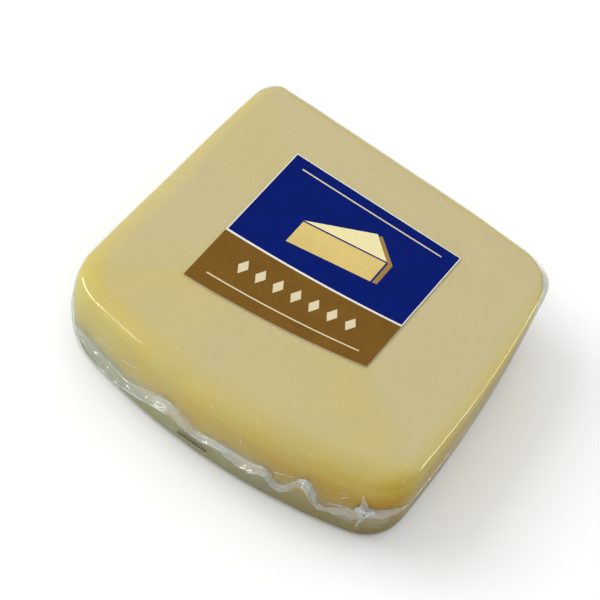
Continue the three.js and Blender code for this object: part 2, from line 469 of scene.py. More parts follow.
# The clear shrink film round the cheese: two halves drawn tight over the top and under the base,
# a few hundredths of a millimetre thick. It follows the edges closely, stands off the cheese in
# one corner, and is pulled out into the seam with small gathers above and below it.
FILM_RADII = (13.5, 12.3, 11.8, 6.6)
FILM_STEP = 0.35
FILM_BASE_ROWS = 5
FILM_LOW_ROWS = 14
FILM_HIGH_ROWS = 20
TENT_REACH = 1.3
# Middle and reach, as places, of the milky web in the back right corner and of the even part round
# it, of the belly at the front left, and of the haze near the front right corner and on the front.
WEB = (3.38, 0.6)
EVEN_WEB = (3.35, 0.9)
BELLY = (7.62, 0.35)
RIGHT_MILK = (1.38, 0.45)
FRONT_MILK = (8.3, 1.0)

# Place, and how far the seam pulls the film off the wall.
TENT = [
    (0.9, 0.45), (1.3, 0.3), (1.9, 0.08), (3.2, 0.08), (3.9, 0.45),
    (7.0, 0.4), (7.35, 0.1), (7.6, 0.1), (7.9, 0.4),
]

# Place, height of the seam's root, reach from root to tip, tilt above level in degrees, and curl.
# Another script worked out the front's heights and reaches from points picked by eye in the photo. 24 of
# the 34 heights and 13 of the reaches are as worked out. The others were changed or added, and the tilts
# and curls were set one by one.
SEAM_FRONT = [
    (0.0, 14.5, 2.1, -48, 0),
    (0.06, 12.8, 2.4, -45, 0),
    (0.12, 12.2, 3.0, -42, 10),
    (0.17, 11.8, 3.0, -45, 10),
    (0.215, 11.9, 2.6, -45, -10),
    (0.25, 13.8, 3.0, -48, 0),
    (0.285, 15.4, 3.2, -44, 10),
    (0.33, 17.7, 3.6, -42, 15),
    (0.365, 18.0, 3.3, -42, 15),
    (0.39, 17.3, 2.7, -40, 0),
    (0.415, 15.8, 2.3, -30, -15),
    (0.44, 14.4, 2.1, -15, -20),
    (0.465, 13.7, 2.0, -25, 0),
    (0.5, 13.9, 1.9, -45, 10),
    (0.54, 14.8, 1.9, -50, 0),
    (0.585, 15.2, 2.4, -48, 0),
    (0.63, 15.0, 3.0, -42, 15),
    (0.665, 15.0, 2.7, -35, 10),
    (0.695, 16.1, 2.6, -40, -10),
    (0.712, 15.9, 2.3, -45, -10),
    (0.725, 14.6, 2.4, -50, 0),
    (0.74, 12.2, 2.1, -50, 0),
    (0.755, 11.1, 1.6, -45, 10),
    (0.77, 11.7, 1.8, -45, 10),
    (0.785, 13.7, 2.4, -50, 15),
    (0.8, 16.6, 2.9, -50, 20),
    (0.815, 19.2, 2.4, -45, 10),
    (0.83, 20.0, 2.5, -30, -15),
    (0.848, 19.2, 2.9, -25, -25),
    (0.87, 15.6, 2.8, -35, -15),
    (0.89, 11.2, 1.6, -45, 0),
    (0.91, 10.6, 1.0, -50, 0),
    (0.94, 13.0, 2.0, -60, 0),
    (0.97, 14.9, 3.0, -65, 0),
]
SEAM_RIGHT = [
    (1.0, 15.4, 3.2, -70, 0),
    (1.05, 15.8, 2.6, -70, 0),
    (1.1, 16.0, 1.4, -70, 0),
    (1.2, 16.4, 2.4, -80, 0),
    (1.4, 16.8, 3.4, -82, 0),
    (1.6, 16.4, 2.6, -80, 0),
    (1.8, 15.0, 1.0, -70, 0),
    (2.0, 13.4, 0.25, -60, 0),
    (2.5, 11.5, 0.15, -60, 0),
    (3.0, 12.0, 0.15, -60, 0),
    (3.5, 14.0, 0.4, -45, 0),
]
SEAM_FRONT_LEFT = [(7.2, 15.0, 0.7, -45, 0), (7.45, 15.2, 0.25, -60, 0), (7.7, 15.0, 0.5, -60, 0)]

# Along the back and the left it waves unevenly about a level line: middle value and swing.
WAVE_HEIGHT = (14.8, 1.1)
WAVE_REACH = (2.0, 0.6)
WAVE_TILT = (-14, 18)
BACK_WAVES = 13
LEFT_WAVES = 11


def waves(side, count):
    """Rows of the seam's table for one side, waving about the level line."""
    def swing(limits, pace, i):
        return limits[0] + limits[1] * math.sin(pace * i + side)
    rows = []
    for i in range(count):
        height = swing(WAVE_HEIGHT, 1.9, i)
        reach = swing(WAVE_REACH, 2.3, i)
        rows.append((side + (i + 0.5) / count, height, reach, swing(WAVE_TILT, 2.9, i), 0))
    return rows


def travel_round(points):
    """How far round the pack each point lies, and the whole way round."""
    length = np.linalg.norm(np.roll(points, -1, 0) - points, axis=1)
    travel = np.concatenate([[0], np.cumsum(length)[:-1]])
    return travel, travel[-1] + length[-1]


SEAM = [*SEAM_FRONT, *SEAM_RIGHT, *waves(4, BACK_WAVES), *waves(6, LEFT_WAVES), *SEAM_FRONT_LEFT]

points, outs, places = outline_of(FILM_RADII, FILM_STEP)
root = value_at(SEAM, places, 1)
tent = value_at(TENT, places, 1)
travel = travel_round(points)[0]
rows = []
for i in range(FILM_BASE_ROWS + 1):
    turn = i / FILM_BASE_ROWS * math.pi / 2
    rows.append((-BASE_RADIUS * (1 - math.sin(turn)), BASE_RADIUS * (1 - math.cos(turn)) + 0 * places))
edge = edge_rows(places, THICKNESS)
for i in range(1, FILM_LOW_ROWS + 1):
    share = i / FILM_LOW_ROWS
    rows.append((0.0, BASE_RADIUS * (1 - share) + root * share))
for i in range(1, FILM_HIGH_ROWS):
    share = i / FILM_HIGH_ROWS
    rows.append((0.0, root * (1 - share) + edge[0][1] * share))
rows += edge


def gathers(travel, drift, seed):
    """Narrow folds that run up the wall, from 0 between them to 1 on their crests."""
    draw = np.random.default_rng(seed)
    total = 0
    for count in (47, 83, 131):
        turns = travel / travel.max() * 2 * math.pi * count
        total = total + np.sin(turns + drift * draw.uniform(-0.6, 0.6) + draw.uniform(0, 6))
    return np.clip(total / 2.2, 0, 1) ** 2


haze, smooth, along, across = [], [], [], []
shaped = []
for far, height in rows:
    gap = height - root
    fade = np.exp(-np.abs(gap) / TENT_REACH)
    folds = gathers(travel, gap, 7)
    upright = (height > BASE_RADIUS * 0.8) & (height < THICKNESS - 1)
    stand = tent * (fade + 0.33 * folds * np.exp(-np.abs(gap) / 2.6))
    shaped.append(ring(points, outs, far + wall_shift(places, height) + stand * upright, height))
    high_up = 0.3 + 0.7 * np.clip((height - 6) / 12, 0, 1)
    web = near(places, *WEB) * 0.75 * np.clip((THICKNESS - 0.4 - height) / 2.5, 0, 1) * high_up
    middle = np.clip((height - 12) / 4, 0, 1) * np.clip((27 - height) / 5, 0, 1)
    belly = near(places, *BELLY) * 0.08 * middle
    below = np.clip((height - 6) / 4, 0, 1) * np.clip((1.6 - gap) / 0.8, 0, 1)
    corner = near(places, *RIGHT_MILK) * 0.22 * below
    above = 0.12 * np.exp(-np.abs(gap - 1) / 3.5) * (gap > 0) * near(places, *FRONT_MILK)
    pulled = 0.03 * np.exp(-np.abs(gap) / 0.8) + 0.12 * folds * np.exp(-np.abs(gap) / 2.0)
    haze.append(np.clip(pulled + above + web + belly + corner, 0, 1))
    even = near(places, *EVEN_WEB) * 2 + near(places, *BELLY) * 2 + near(places, *RIGHT_MILK) * 0.7
    smooth.append(np.clip(even, 0, 1) + 0 * height)
    along.append(travel)
    across.append(gap)
film = round_mesh("film_wrap", capped(shaped), {
    "haze": np.pad(np.array(haze), ((pad, pad), (0, 0))),
    "smooth": np.pad(np.array(smooth), ((pad, pad), (0, 0))),
    "along": np.pad(np.array(along), ((pad, pad), (0, 0)), "edge"),
    "across": np.pad(np.array(across), ((pad, pad), (0, 0)), "edge"),
})

# Film that has been stretched and welded is milky in streaks that run along it. The streaks are
# found from how far round the pack and how far across the strip a point lies.
milk = bpy.data.node_groups.new("milky_streaks", "ShaderNodeTree")
for name in ("Haze", "Smooth", "Along", "Across", "Pace Along", "Pace Across"):
    milk.interface.new_socket(name, in_out="INPUT", socket_type="NodeSocketFloat")
milk.interface.new_socket("Cover", in_out="OUTPUT", socket_type="NodeSocketFloat")
milk.interface.new_socket("Height", in_out="OUTPUT", socket_type="NodeSocketFloat")
inside = milk.nodes.new("NodeGroupInput").outputs
outside = milk.nodes.new("NodeGroupOutput").inputs
spot = place(milk, "CombineXYZ", {
    0: calculate(milk, "MULTIPLY", inside["Along"], inside["Pace Along"]),
    1: calculate(milk, "MULTIPLY", inside["Across"], inside["Pace Across"]),
}).outputs[0]
streak = place(milk, "TexNoise", {"Vector": spot, "Scale": 1.0, "Detail": 3.0, "Distortion": 0.4})
streak = streak.outputs["Fac"]
ridge = calculate(milk, "ABSOLUTE", calculate(milk, "SUBTRACT", streak, 0.5))
line = calculate(milk, "SUBTRACT", 1.0, calculate(milk, "MULTIPLY", ridge, 24.0), clamp=True)
body = calculate(milk, "ADD", calculate(milk, "MULTIPLY", streak, 3.0), -0.95, clamp=True)
streaky = calculate(milk, "ADD", body, calculate(milk, "MULTIPLY", line, 1.2))
streaky = calculate(milk, "MULTIPLY", streaky, calculate(milk, "SUBTRACT", 1.0, inside["Smooth"]))
cover = calculate(milk, "ADD", streaky, calculate(milk, "MULTIPLY", inside["Smooth"], 0.8))
milk.links.new(calculate(milk, "MULTIPLY", cover, inside["Haze"], clamp=True), outside["Cover"])
milk.links.new(calculate(milk, "ADD", streak, calculate(milk, "MULTIPLY", line, 0.4)), outside["Height"])

FILM_MILK = (0.62, 0.67, 0.67)
FILM_EDGE_ON = (0.45, 0.46, 0.42)


def film_material(piece, name, pace_along, pace_across, depth, shine):
    """Clear glossy film: see-through where its haze is 0, milky along its streaks, grey edge-on."""
    tree = material_of(piece, name)
    shader = tree.nodes["Principled BSDF"]
    group = place(tree, "Group", node_tree=milk)
    for key, value in (("Haze", "haze"), ("Smooth", "smooth"), ("Along", "along"), ("Across", "across")):
        tree.links.new(value_named(tree, value), group.inputs[key])
    group.inputs["Pace Along"].default_value = pace_along
    group.inputs["Pace Across"].default_value = pace_across
    strength = calculate(tree, "MULTIPLY", value_named(tree, "haze"), 1.6, clamp=True)
    level = calculate(tree, "SUBTRACT", 1.0, value_named(tree, "smooth"))
    strength = calculate(tree, "MULTIPLY", strength, level)
    bump = place(tree, "Bump", {"Strength": strength, "Height": group.outputs["Height"], "Distance": depth})
    facing = place(tree, "LayerWeight", {"Blend": 0.5, "Normal": bump.outputs[0]}).outputs["Facing"]
    mirror = calculate(tree, "POWER", facing, 10.0)
    mirror = calculate(tree, "ADD", calculate(tree, "MULTIPLY", mirror, 0.35), shine)
    shader.inputs["Base Color"].default_value = (*FILM_MILK, 1)
    rough = calculate(tree, "SUBTRACT", 0.4, calculate(tree, "MULTIPLY", group.outputs["Cover"], 0.2))
    tree.links.new(rough, shader.inputs["Roughness"])
    tree.links.new(bump.outputs[0], shader.inputs["Normal"])
    edge_on = calculate(tree, "POWER", facing, 9.0)
    tint = blend_colours(tree, edge_on, (0.985, 0.985, 0.975), FILM_EDGE_ON)
    clear = place(tree, "BsdfTransparent", {"Color": tint})
    gloss = place(tree, "BsdfGlossy", {"Color": (1, 1, 1, 1), "Roughness": 0.07, "Normal": bump.outputs[0]})
    body = place(tree, "MixShader", {0: group.outputs["Cover"], 1: clear.outputs[0], 2: shader.outputs[0]})
    whole = place(tree, "MixShader", {0: mirror, 1: body.outputs[0], 2: gloss.outputs[0]})
    tree.links.new(whole.outputs[0], tree.nodes["Material Output"].inputs["Surface"])


film_material(film, "clear_shrink_film", 0.35, 0.25, 0.0003, 0.022)
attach(film, "root")
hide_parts("sealed_cheese")

# The seam: where the two halves of film are welded and trimmed, a narrow strip stands out of the
# wall all the way round. Shrinking has drawn it into waves and curls with a thick rim.
SEAM_STEP = 0.3
SEAM_ROWS = 14
SEAM_THICKNESS = 0.12
RIM_THICKNESS = 0.32
PLEATS = 1.6
PLEAT_HEIGHT = 0.13

# Place, and how milky the seam is there, next to 1 along the front.
SEAM_CALM = [
    (0.87, 1.0), (0.93, 0.4), (1.1, 0.3), (1.6, 0.3),
    (2.0, 0.2), (3.0, 0.2), (3.6, 1.0), (7.5, 1.0),
]
# Middle and reach, as places, of where its ripples are calmer, and of where its body is clearer and its rim
# milkier. Then the places where its body is milkier, with their reach and by how much: that milk is partly
# real and partly a painted highlight on the folds.
CALM_LEFT = (7.95, 0.5)
CLEAR_LEFT = (8.05, 0.5)
MILK_AND_HIGHLIGHT_SPOTS = [(0.85, 0.05, 0.90), (0.72, 0.05, 0.30), (0.56, 0.08, 0.30), (0.34, 0.07, 0.30)]

points, outs, places = outline_of(FILM_RADII, SEAM_STEP)
travel, whole_way = travel_round(points)
lap = travel / whole_way * 2 * math.pi
root, reach, tilt, curl = (value_at(SEAM, places, i) for i in (1, 2, 3, 4))
tent = value_at(TENT, places, 1)
ripple = 0.04 * np.sin(53 * lap) + 0.03 * np.sin(97 * lap + 1)
ripple_left = 1 - 0.9 * near(places, *CALM_LEFT)
reach = reach * (1 + ripple * ripple_left)


def strip_side(face):
    """One face of the strip, in rows from root to tip: 1 for the upper face, -1 for the lower."""
    rows = []
    far = tent * 0.6 + wall_shift(places, root)
    height = root.copy()
    for i in range(SEAM_ROWS + 1):
        share = i / SEAM_ROWS
        lean = np.radians(tilt + curl * (share * 2 - 1))
        if i:
            far = far + reach / SEAM_ROWS * np.cos(lean)
            height = height + reach / SEAM_ROWS * np.sin(lean)
        drift = 1.3 * np.sin(5 * lap + 1) + 0.9 * np.sin(17 * lap) + 0.5 * np.sin(39 * lap + 2)
        swell = PLEAT_HEIGHT * math.sin(math.pi * min(share * 1.3, 1))
        pleat = np.sin(2 * math.pi * PLEATS * share + drift) * swell
        pleat = pleat * np.clip(reach / 2.5, 0.2, 1)
        small = 0.03 * share * np.sin(83 * lap + 4 * share) + 0.02 * share * np.sin(139 * lap + 2)
        small = small * ripple_left
        rim = max(0.0, 1 - abs(share - 0.94) / 0.1)
        root_flare = 0.2 * (1 - share) ** 6
        thick = (SEAM_THICKNESS + (RIM_THICKNESS - SEAM_THICKNESS) * rim + root_flare) / 2
        thick = thick * np.clip(reach, 0.15, 1)
        if i == SEAM_ROWS:
            thick = thick * 0.4
        off = pleat + small + face * thick
        rows.append(ring(points, outs, far - off * np.sin(lean), height + off * np.cos(lean)))
    return rows


rows = np.array([*strip_side(-1), *strip_side(1)[::-1]])
shares = np.array([*range(SEAM_ROWS + 1), *range(SEAM_ROWS, -1, -1)]) / SEAM_ROWS
rims = np.exp(-((shares - 0.95) / 0.06) ** 2) + 0.8 * np.exp(-(shares / 0.07) ** 2)
pinched = np.clip(1 - (reach - 1.6) / 1.4, 0, 1)
calm = value_at(SEAM_CALM, places, 1)
body = 0.19 - 0.18 * near(places, *CLEAR_LEFT) + 0.06 * pinched
for spot, wide, more in MILK_AND_HIGHLIGHT_SPOTS:
    body = body + more * near(places, spot, wide)
rim_milk = 0.55 + 0.5 * near(places, *CLEAR_LEFT)
haze = (body[None] + rim_milk[None] * rims[:, None]) * calm[None]


def strip_mesh(name, rows, values):
    """A closed strip right round the pack: its rows go out along one face and back on the other."""
    high, wide = rows.shape[:2]
    across = np.arange(wide)
    beside = (across + 1) % wide
    faces = []
    for row in range(high):
        low, top = row * wide, (row + 1) % high * wide
        faces.append(np.stack([low + across, low + beside, top + beside, top + across], 1))
    return mesh_object(name, rows.reshape(-1, 3), np.concatenate(faces).tolist(),
                       {key: value.reshape(-1) for key, value in values.items()})


seam = strip_mesh("film_seam", rows, {
    "haze": np.clip(haze, 0, 1),
    "along": np.broadcast_to(travel, rows.shape[:2]),
    "across": shares[:, None] * reach[None],
})
film_material(seam, "welded_film", 0.08, 1.4, 0.0006, 0.06)
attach(seam, "root")
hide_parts("sealed_cheese")

# The wrinkles: fine raised folds in the film itself, where shrinking has left it a little slack.
# They lie beside the seam's curls and run in towards the knot. Each is milky along its crest.
# Place and height of the points along each, its width, and how milky it is. Another script worked
# out 12 of the 16 paths from points picked by eye in the photo, and 5 of those were then changed.
WRINKLES = [
    # The first, just above the seam's root at the front left, is milky along its crest partly as a painted
    # highlight line.
    ([(0.0, 14.9), (0.06, 13.1), (0.12, 12.5), (0.17, 12.1), (0.215, 12.3)], 0.40, 0.9),
    ([(0.712, 15.5), (0.738, 15.9), (0.766, 16.9), (0.814, 19.0)], 0.55, 1.0),
    ([(1.156, 17.2), (1.376, 17.4), (1.685, 16.3)], 0.45, 0.8),
    ([(1.238, 8.4), (1.514, 6.6), (1.769, 6.6)], 0.6, 0.4),
    ([(1.227, 13.8), (1.375, 14.5), (1.496, 15.0)], 0.6, 0.45),
    ([(0.933, 19.5), (0.943, 20.5), (0.961, 21.0)], 0.5, 0.7),
    ([(0.94, 17.5), (0.952, 19.0), (0.968, 20.1)], 0.5, 0.7),
    ([(0.902, 12.0), (0.93, 13.9), (0.96, 14.6), (0.985, 14.2)], 0.5, 0.8),
    ([(1.24, 15.4), (1.42, 15.2), (1.6, 14.2), (1.75, 14.0)], 0.5, 0.6),
    ([(1.22, 11.8), (1.42, 10.4), (1.66, 10.2)], 0.6, 0.45),
    ([(0.607, 24.1), (0.611, 21.8), (0.613, 19.3)], 0.5, 0.5),
    ([(0.914, 13.2), (0.958, 15.1), (0.998, 15.6)], 0.5, 0.6),
    ([(0.92, 10.4), (0.965, 11.8), (1.011, 12.3)], 0.6, 0.55),
    ([(0.931, 8.3), (0.972, 8.4), (1.053, 8.6)], 0.6, 0.6),
    ([(0.147, 18.1), (0.19, 19.1), (0.235, 21.3)], 1.0, 0.35),
    ([(0.056, 18.6), (0.093, 18.2), (0.124, 19.1)], 1.0, 0.35),
]
WRINKLE_POINTS = 24
WRINKLE_RISE = 0.12

points, outs, places = outline_of(FILM_RADII, FILM_STEP)
travel = travel_round(points)[0]
wrinkle_points, wrinkle_faces, wrinkle_haze, wrinkle_along, wrinkle_across = [], [], [], [], []
for path, width, milky in WRINKLES:
    path = np.array(path)
    share = np.linspace(0, 1, WRINKLE_POINTS)
    stops = np.linspace(0, 1, len(path))
    where = np.interp(share, stops, path[:, 0])
    height = np.interp(share, stops, path[:, 1])
    gap = np.abs(height - value_at(SEAM, where, 1))
    stand = value_at(TENT, where, 1) * np.exp(-gap / TENT_REACH) + wall_shift(where, height) + 0.04
    flat = np.stack([np.interp(where, places, points[:, axis]) for axis in (0, 1)], 1)
    out = np.stack([np.interp(where, places, outs[:, axis]) for axis in (0, 1)], 1)
    beside = np.stack([-out[:, 1], out[:, 0]], 1)
    gone = np.interp(where, places, travel)
    run, climb = np.gradient(gone), np.gradient(height)
    pace = np.hypot(run, climb)
    taper = np.sin(math.pi * np.clip(share, 0.02, 0.98)) ** 0.6
    start = len(wrinkle_points)
    for side in (-1, 0, 1):
        rise = stand + (WRINKLE_RISE * taper if side == 0 else 0)
        far = side * width / 2 * taper
        plan = flat + beside * (-climb / pace * far)[:, None] + out * rise[:, None]
        wrinkle_points += np.concatenate([plan, (height + run / pace * far)[:, None]], 1).tolist()
        wrinkle_haze += (milky * taper if side == 0 else 0 * taper).tolist()
        wrinkle_along += gone.tolist()
        wrinkle_across += (far + 0 * gone).tolist()
    for row in range(2):
        for i in range(start + row * WRINKLE_POINTS, start + (row + 1) * WRINKLE_POINTS - 1):
            wrinkle_faces.append((i, i + 1, i + 1 + WRINKLE_POINTS, i + WRINKLE_POINTS))
wrinkles = mesh_object("film_wrinkles", wrinkle_points, wrinkle_faces, {
    "haze": np.array(wrinkle_haze),
    "along": np.array(wrinkle_along),
    "across": np.array(wrinkle_across),
})
film_material(wrinkles, "creased_film", 0.3, 0.5, 0.0002, 0.05)
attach(wrinkles, "root")
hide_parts("sealed_cheese")

# The print low on the front: a row of small dark dashes, inked on the film below the seam.
DASH_PLACES = (0.402, 0.513)
DASHES = 10
DASH_SHARE = 0.6
DASH_HEIGHT = (5.5, 6.6)
DASH_POINTS = 4

points, outs, places = outline_of(FILM_RADII, FILM_STEP)
dash_points, dash_faces = [], []
pitch = (DASH_PLACES[1] - DASH_PLACES[0]) / DASHES
for i in range(DASHES):
    row = DASH_PLACES[0] + pitch * i + np.linspace(0, pitch * DASH_SHARE, DASH_POINTS)
    plan = np.stack([np.interp(row, places, (points + outs * 0.15)[:, axis]) for axis in (0, 1)], 1)
    start = len(dash_points)
    for height in DASH_HEIGHT:
        dash_points += [(x, y, height) for x, y in plan]
    for j in range(start, start + DASH_POINTS - 1):
        dash_faces.append((j, j + 1, j + 1 + DASH_POINTS, j + DASH_POINTS))
dashes = mesh_object("film_dashes", dash_points, dash_faces, {})
tree = material_of(dashes, "dark_ink")
shader = tree.nodes["Principled BSDF"]
where = place(tree, "TexCoord").outputs["Object"]
worn = place(tree, "TexNoise", {"Vector": where, "Scale": 2500.0, "Detail": 2.0}).outputs["Fac"]
ink = blend_colours(tree, worn, (0.004, 0.004, 0.003), (0.020, 0.019, 0.013))
tree.links.new(ink, shader.inputs["Base Color"])
shader.inputs["Roughness"].default_value = 0.5
shader.inputs["Specular IOR Level"].default_value = 0.1
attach(dashes, "root")
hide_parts("sealed_cheese")

# The knot: where the two ends of the seam cross at the front right corner, the film is drawn up
# into a small twisted star that stands out of the wall. Long thin arms run up and down from it, and
# short ones to both sides. Each arm has its angle from the level, its reach, and its width, in radians.
KNOT_PLACE = 1.12
KNOT_HEIGHT = 16.0
KNOT_ARMS = [
    (1.80, 8.4, 0.11), (1.78, 5.2, 0.4), (3.2, 2.8, 0.4),
    (4.64, 9.6, 0.10), (4.66, 6.2, 0.35), (6.15, 2.6, 0.45),
]
KNOT_SIZE = 2.7
KNOT_RINGS = 20
KNOT_SPOKES = 180

points, outs, places = outline_of(FILM_RADII, SEAM_STEP)
spot = np.array([np.interp(KNOT_PLACE, places, points[:, i]) for i in (0, 1)])
out = np.array([np.interp(KNOT_PLACE, places, outs[:, i]) for i in (0, 1)])
beside = np.array([-out[1], out[0]])
angles = np.linspace(0, 2 * math.pi, KNOT_SPOKES, endpoint=False)
size = KNOT_SIZE + 0 * angles
for arm, far, wide in KNOT_ARMS:
    apart = (angles - arm + math.pi) % (2 * math.pi) - math.pi
    size = np.maximum(size, far * np.exp(-(apart / wide) ** 2))


def knot_side(face):
    """One face of the knot, in rows from its middle to its edge."""
    rows = []
    for i in range(1, KNOT_RINGS + 1):
        share = i / KNOT_RINGS
        away = size * share
        swirl = np.sin(angles * 2 + 3.5 * away)
        rise = 1.1 * np.exp(-(away / 1.4) ** 2) + 0.35 * swirl * np.exp(-(away / 1.5) ** 2)
        rise = rise + 0.35 * np.exp(-(away / 3) ** 2) + 0.12 + face * 0.05
        turned = angles + 0.5 * (1 - share) ** 3
        flat = spot + beside * (np.cos(turned) * away)[:, None] + out * rise[:, None]
        rows.append(np.concatenate([flat, (KNOT_HEIGHT + np.sin(turned) * away)[:, None]], 1))
    return rows


rows = np.array([*knot_side(1), *knot_side(-1)[::-1]])
shares = np.array([*range(1, KNOT_RINGS + 1), *range(KNOT_RINGS, 0, -1)]) / KNOT_RINGS
away = size[None] * shares[:, None]
swirl = np.sin(angles[None] * 2 + 3.5 * away)
core = np.exp(-(away / 2.1) ** 2)
knot = strip_mesh("film_knot", rows, {
    "haze": np.clip(0.08 + 0.95 * core + 0.35 * swirl * np.exp(-(away / 2.0) ** 2), 0.05, 1),
    "along": angles[None] + 0 * shares[:, None],
    "across": shares[:, None] + 0 * angles[None],
})
film_material(knot, "knotted_film", 0.9, 2.0, 0.0002, 0.08)
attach(knot, "root")
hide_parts("sealed_cheese")

# The label: coated paper stuck on the film over the middle of the top, cut with a bowed front.
# Its face is printed with a blue and a brown gold field, stripes, a plain wedge and lozenges.
LABEL_THICKNESS = 0.3
INK_THICKNESS = 0.02
# Another script worked out the label's corners from points picked by eye in the photo.
LABEL_FRONT = (np.array([-25.8, -22.1]), np.array([24.7, -15.3]))
LABEL_BACK = (np.array([-25.7, 28.2]), np.array([26.5, 27.7]))
LABEL_BOW = 1.2
LABEL_COLUMNS = 40


def on_label(across, up):
    """The place on the label's face at shares of its width and depth, from its front left corner."""
    across, up = np.asarray(across, float)[..., None], np.asarray(up, float)[..., None]
    front = LABEL_FRONT[0] * (1 - across) + LABEL_FRONT[1] * across
    back = LABEL_BACK[0] * (1 - across) + LABEL_BACK[1] * across
    chord = LABEL_FRONT[1] - LABEL_FRONT[0]
    ahead = np.array([chord[1], -chord[0]]) / np.linalg.norm(chord)
    front = front + ahead * LABEL_BOW * 4 * across * (1 - across)
    return front * (1 - up) + back * up


def plate(name, edge, low, high):
    """A flat plate with the outline given by points in the plan, between two heights."""
    count = len(edge)
    points = [(x, y, z) for z in (low, high) for x, y in edge]
    faces = [list(range(count))[::-1], list(range(count, 2 * count))]
    faces += [[i, (i + 1) % count, (i + 1) % count + count, i + count] for i in range(count)]
    piece = mesh_object(name, points, faces, {})
    piece.data.shade_flat()
    return piece


def field(name, left, right, front, back, layer):
    """A printed field between shares of the label's width and depth, in a layer of ink."""
    across = np.linspace(left, right, LABEL_COLUMNS)
    front_edge = on_label(across, np.full(LABEL_COLUMNS, front))
    back_edge = on_label(across[::-1], np.full(LABEL_COLUMNS, back))
    low = THICKNESS + LABEL_THICKNESS + (layer - 1) * INK_THICKNESS
    return plate(name, [*front_edge, *back_edge], low, low + INK_THICKNESS)


def shape(name, corners, layer):
    """A printed shape with straight sides between shares of the label's width and depth."""
    edge = np.array([on_label(across, up) for across, up in corners])
    low = THICKNESS + LABEL_THICKNESS + (layer - 1) * INK_THICKNESS
    return plate(name, edge, low, low + INK_THICKNESS)


SPLIT = 0.36
STRIPE = 0.012
across = np.linspace(0, 1, LABEL_COLUMNS)
edge = [*on_label(across, 0 * across), *on_label(across[::-1], 0 * across + 1)]
paper = plate("label_paper", edge, THICKNESS + 0.01, THICKNESS + LABEL_THICKNESS)
blue = field("label_blue", 0.006, 0.995, SPLIT, 0.994, 1)
gold = field("label_gold", 0, 1, 0, SPLIT, 1)
stripes = [
    field("label_stripe", 0, 1, SPLIT - STRIPE / 2, SPLIT + STRIPE / 2, 2),
    field("label_low_stripe", 0.08, 0.92, 0.075, 0.083, 2),
    field("label_high_stripe", 0.08, 0.92, 0.925, 0.933, 2),
]
wedge_top = shape("wedge_top", [(0.27, 0.655), (0.60, 0.83), (0.73, 0.70)], 2)
wedge_side = shape("wedge_side", [(0.27, 0.645), (0.73, 0.69), (0.73, 0.53), (0.27, 0.485)], 2)
rind = [(0.74, 0.69), (0.612, 0.822), (0.628, 0.832), (0.765, 0.695), (0.765, 0.535), (0.74, 0.53)]
wedge_rind = shape("wedge_rind", rind, 2)
LOZENGES = 7
LOZENGE_WIDTH = 0.028
LOZENGE_DEPTH = 0.05
LOZENGE_PITCH = 0.1
LOZENGE_UP = 0.215
lozenges = []
for i in range(LOZENGES):
    x = 0.5 + (i - (LOZENGES - 1) / 2) * LOZENGE_PITCH
    left, right = x - LOZENGE_WIDTH, x + LOZENGE_WIDTH
    low, high = LOZENGE_UP - LOZENGE_DEPTH, LOZENGE_UP + LOZENGE_DEPTH
    corners = [(left, LOZENGE_UP), (x, low), (right, LOZENGE_UP), (x, high)]
    lozenges.append(shape(f"lozenge_{i + 1}", corners, 2))

# Ink on coated paper has a fine mottle, and its surface a faint unevenness.
mottle = bpy.data.node_groups.new("printed_mottle", "ShaderNodeTree")
mottle.interface.new_socket("Ink", in_out="INPUT", socket_type="NodeSocketColor")
mottle.interface.new_socket("Mottle", in_out="INPUT", socket_type="NodeSocketFloat").default_value = 0.2
mottle.interface.new_socket("Colour", in_out="OUTPUT", socket_type="NodeSocketColor")
mottle.interface.new_socket("Roughness", in_out="OUTPUT", socket_type="NodeSocketFloat")
mottle.interface.new_socket("Height", in_out="OUTPUT", socket_type="NodeSocketFloat")
inside = mottle.nodes.new("NodeGroupInput").outputs
outside = mottle.nodes.new("NodeGroupOutput").inputs
where = place(mottle, "TexCoord").outputs["Object"]
fine = place(mottle, "TexNoise", {"Vector": where, "Scale": 1400.0, "Detail": 3.0}).outputs["Fac"]
wide = place(mottle, "TexNoise", {"Vector": where, "Scale": 160.0, "Detail": 3.0}).outputs["Fac"]
both = calculate(mottle, "MULTIPLY", wide, 0.6)
both = calculate(mottle, "ADD", calculate(mottle, "MULTIPLY", fine, 0.4), both)
swing = calculate(mottle, "MULTIPLY", calculate(mottle, "SUBTRACT", both, 0.5), inside["Mottle"])
shade = calculate(mottle, "ADD", calculate(mottle, "MULTIPLY", swing, 4.0), 1.0)
grey = place(mottle, "CombineColor", {0: shade, 1: shade, 2: shade}).outputs[0]
mottle.links.new(blend_colours(mottle, 1.0, inside["Ink"], grey, "MULTIPLY"), outside["Colour"])
rough = calculate(mottle, "ADD", calculate(mottle, "MULTIPLY", wide, 0.16), 0.3)
mottle.links.new(rough, outside["Roughness"])
mottle.links.new(both, outside["Height"])


def print_material(piece, name, ink, swing):
    """Ink of one colour on coated paper."""
    tree = material_of(piece, name)
    shader = tree.nodes["Principled BSDF"]
    group = place(tree, "Group", node_tree=mottle)
    group.inputs["Ink"].default_value = (*ink, 1)
    group.inputs["Mottle"].default_value = swing
    tree.links.new(group.outputs["Colour"], shader.inputs["Base Color"])
    tree.links.new(group.outputs["Roughness"], shader.inputs["Roughness"])
    bump = place(tree, "Bump", {"Height": group.outputs["Height"], "Strength": 0.15, "Distance": 0.0001})
    tree.links.new(bump.outputs[0], shader.inputs["Normal"])
    shader.inputs["Specular IOR Level"].default_value = 0.03


